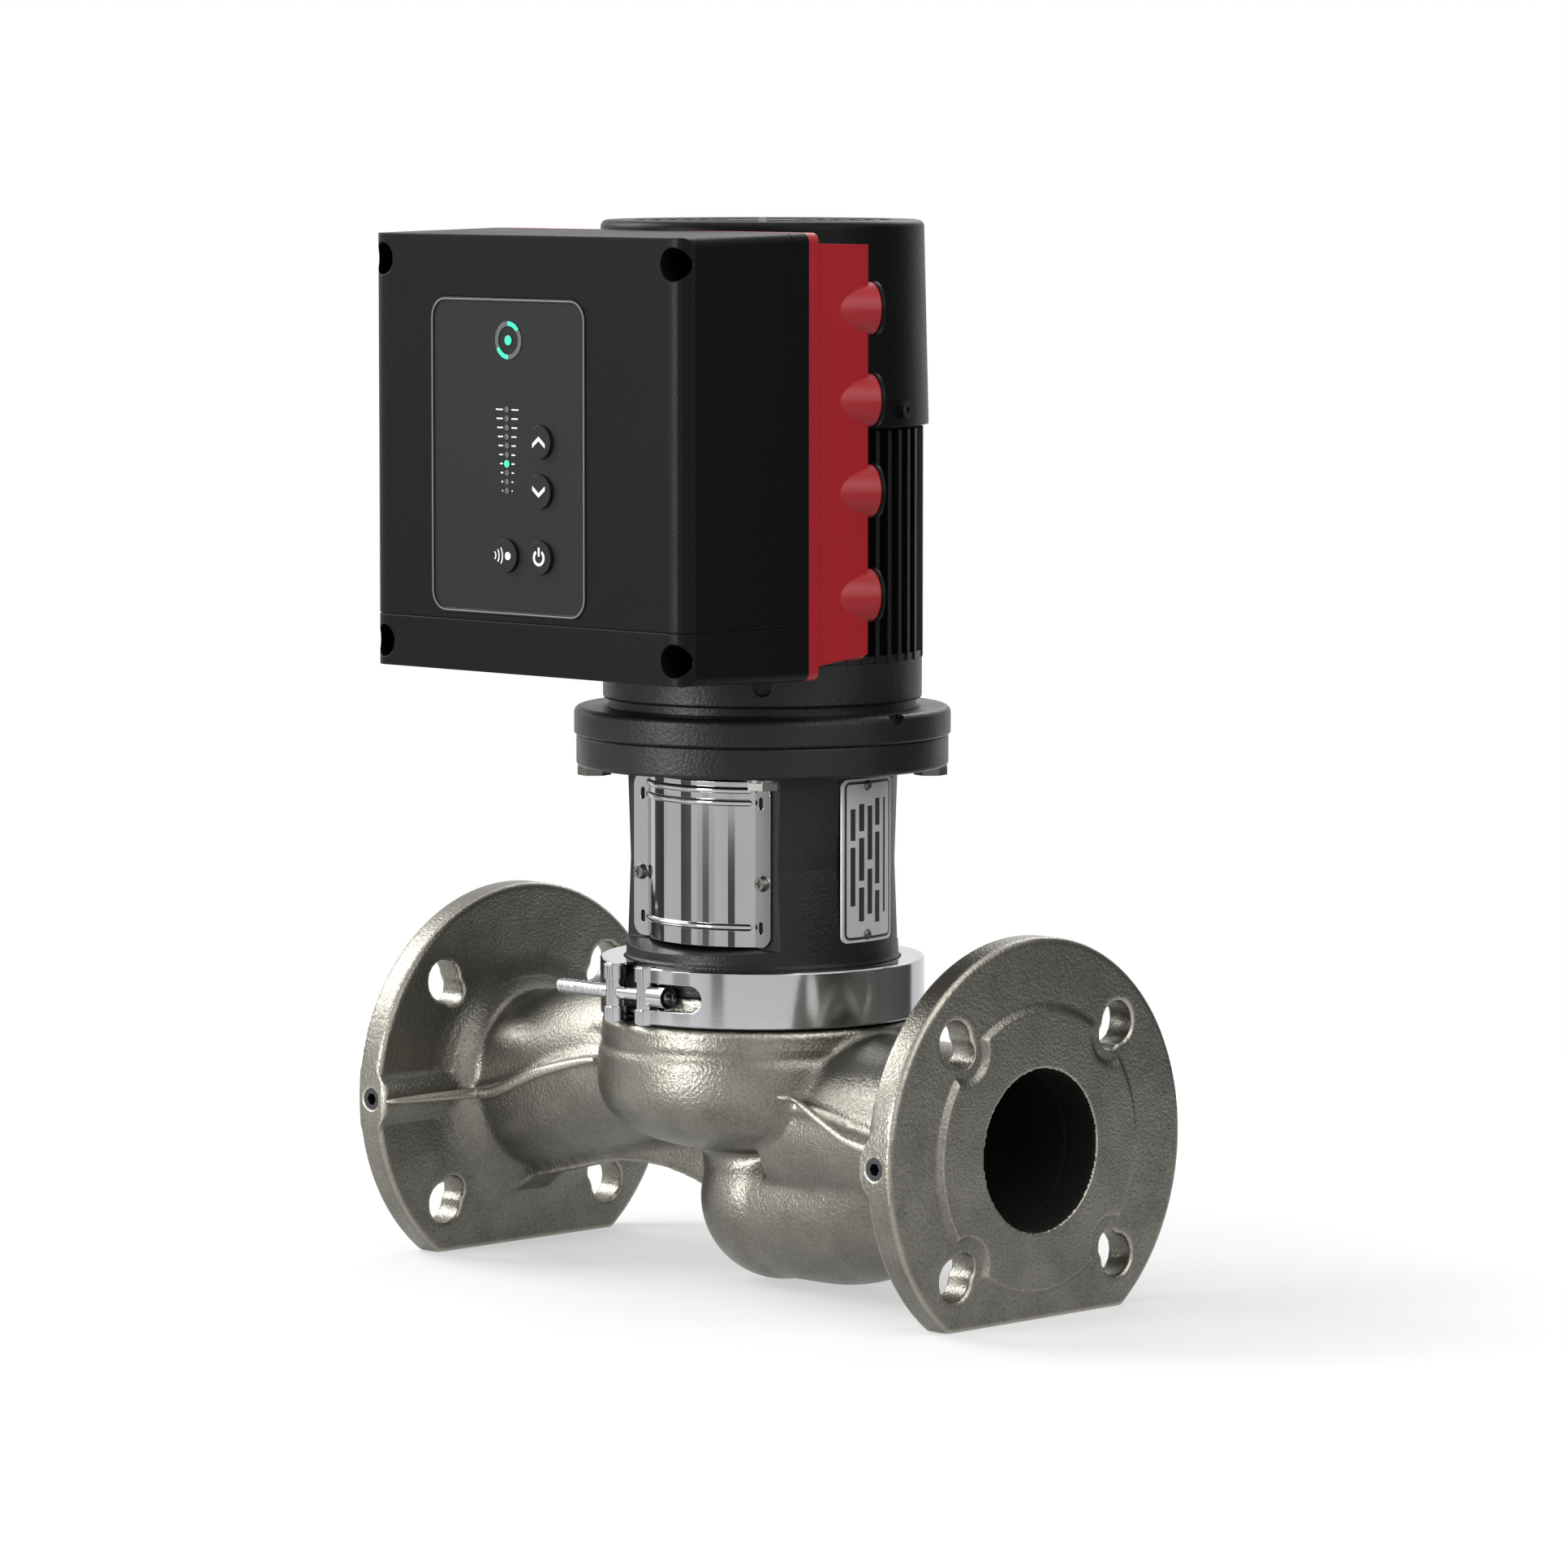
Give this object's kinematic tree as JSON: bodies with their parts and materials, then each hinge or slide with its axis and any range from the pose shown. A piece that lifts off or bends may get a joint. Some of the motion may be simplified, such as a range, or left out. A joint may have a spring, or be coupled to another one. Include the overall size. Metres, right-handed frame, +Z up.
{
  "type": "in-line circulator pump",
  "caption": "In-line dry rotor circulator pump: flanged casting, clamped pump head with lantern, upright finned motor and electronic control box with push buttons.",
  "frame": {"origin": "centre of the inlet flange face, on the pipe axis", "axes": "+X out of the inlet port, +Z up along the shaft towards the motor, the control box faces -Y"},
  "size_m": [0.34, 0.2391, 0.4735],
  "materials": {
    "cast_stainless": "as cast, fine grained",
    "turned_steel": "machined",
    "polished_stainless": "bright polished sheet",
    "painted_cast_iron": "black paint over cast iron",
    "painted_aluminium": "black powder coat",
    "zinc_plated_steel": "zinc plated",
    "black_oxide_steel": "black oxide",
    "ceramic": "fine ground",
    "carbon": "ground",
    "rubber": "matt",
    "brass": "turned",
    "lamination_steel": "stacked sheet",
    "copper_wire": "enamelled copper",
    "magnet": "sintered",
    "black_plastic": "fine texture",
    "panel_plastic": "satin film",
    "red_plastic": "fine texture",
    "light_guide": "clear, lit green",
    "circuit_board": "solder mask",
    "terminal_plastic": "moulded",
    "capacitor_sleeve": "sleeved can"
  },
  "bodies": {
    "pump_body": {"pump_housing": "cast_stainless", "inlet_port": "cast_stainless", "outlet_port": "cast_stainless", "gauge_plugs": "black_oxide_steel", "wear_ring": "turned_steel", "housing_o_ring": "rubber", "pump_head": "painted_cast_iron", "clamp_band": "polished_stainless", "clamp_barrels": "polished_stainless", "clamp_screw": "polished_stainless", "vent_screw": "brass", "seal_seat": "ceramic", "front_guard": "polished_stainless", "rear_guard": "polished_stainless", "guard_screws": "zinc_plated_steel", "nameplate": "polished_stainless", "nameplate_rivets": "zinc_plated_steel", "motor_flange": "painted_cast_iron", "flange_bolts": "zinc_plated_steel", "stator_housing": "painted_aluminium", "stator_core": "lamination_steel", "stator_windings": "copper_wire", "lower_bearing_outer": "turned_steel", "upper_bearing_outer": "turned_steel", "rear_end_shield": "painted_aluminium", "fan_cover": "black_plastic", "fan_cover_screws": "black_oxide_steel", "box_base": "red_plastic", "box_gasket": "rubber", "box_cover": "black_plastic", "box_cover_screws": "zinc_plated_steel", "control_panel": "panel_plastic", "status_light": "light_guide", "level_lights": "light_guide", "cable_plugs": "black_plastic", "power_board": "circuit_board", "control_board": "circuit_board", "capacitors": "capacitor_sleeve", "terminal_block": "terminal_plastic", "box_mounting_screws": "zinc_plated_steel"},
    "rotor": {"impeller": "turned_steel", "impeller_nut": "turned_steel", "seal_ring": "carbon", "seal_spring": "turned_steel", "pump_shaft": "turned_steel", "front_coupling_half": "turned_steel", "rear_coupling_half": "turned_steel", "coupling_screws": "black_oxide_steel", "rotor_core": "lamination_steel", "rotor_magnets": "magnet", "motor_shaft": "turned_steel", "lower_bearing_inner": "turned_steel", "upper_bearing_inner": "turned_steel", "cooling_fan": "black_plastic"},
    "up_key": {"up_button": "panel_plastic"},
    "down_key": {"down_button": "panel_plastic"},
    "wireless_key": {"wireless_button": "panel_plastic"},
    "power_key": {"power_button": "panel_plastic"}
  },
  "joints": [
    {"name": "rotor_spin", "type": "hinge", "parent": "pump_body", "child": "rotor", "pos_m": [-0.17, 0, 0.1], "axis": [0, 0, 1], "continuous": true},
    {"name": "up_press", "type": "slide", "parent": "pump_body", "child": "up_key", "axis": [0, 1, 0], "range_m": [0, 0.0008], "stiffness_N_per_m": 600, "springref_m": -0.0005},
    {"name": "down_press", "type": "slide", "parent": "pump_body", "child": "down_key", "axis": [0, 1, 0], "range_m": [0, 0.0008], "stiffness_N_per_m": 600, "springref_m": -0.0005},
    {"name": "wireless_press", "type": "slide", "parent": "pump_body", "child": "wireless_key", "axis": [0, 1, 0], "range_m": [0, 0.0008], "stiffness_N_per_m": 600, "springref_m": -0.0005},
    {"name": "power_press", "type": "slide", "parent": "pump_body", "child": "power_key", "axis": [0, 1, 0], "range_m": [0, 0.0008], "stiffness_N_per_m": 600, "springref_m": -0.0005}
  ]
}
